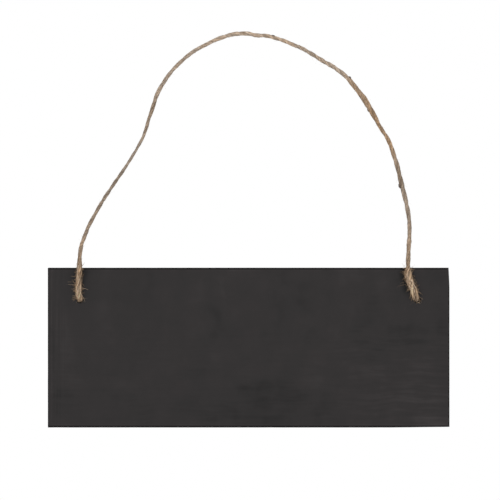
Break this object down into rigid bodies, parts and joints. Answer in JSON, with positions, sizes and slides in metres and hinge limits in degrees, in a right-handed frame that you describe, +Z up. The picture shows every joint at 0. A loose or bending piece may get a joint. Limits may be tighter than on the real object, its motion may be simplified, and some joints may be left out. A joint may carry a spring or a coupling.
{
  "type": "wall chalkboard",
  "caption": "Small rectangular black chalkboard panel that hangs from a knotted jute cord threaded through its upper corners.",
  "frame": {"origin": "the hanging point: the underside of the cord at the crown of its loop, above the board's middle, where a wall nail or hook carries it", "axes": "+X to the right seen from the front, -Y out of the writing face, +Y to the wall, +Z up"},
  "size_m": [0.25, 0.0149, 0.2465],
  "materials": {
    "blackboard": "fibreboard with matt black blackboard paint, faintly clouded with rubbed-in chalk",
    "jute_cord": "twisted natural jute twine, hairy, undyed"
  },
  "bodies": {
    "cord_loop": {"hanging_cord": "jute_cord"},
    "board": {"board_panel": "blackboard", "left_cord_lead": "jute_cord", "left_stopper_knot": "jute_cord", "left_cord_tail": "jute_cord", "right_cord_lead": "jute_cord", "right_stopper_knot": "jute_cord", "right_cord_tail": "jute_cord"}
  },
  "joints": [
    {"name": "board_swing", "type": "hinge", "parent": "cord_loop", "child": "board", "pos_m": [0, -0.0065, -0.1645], "axis": [-1, 0, 0], "range_deg": [0, 175]}
  ]
}
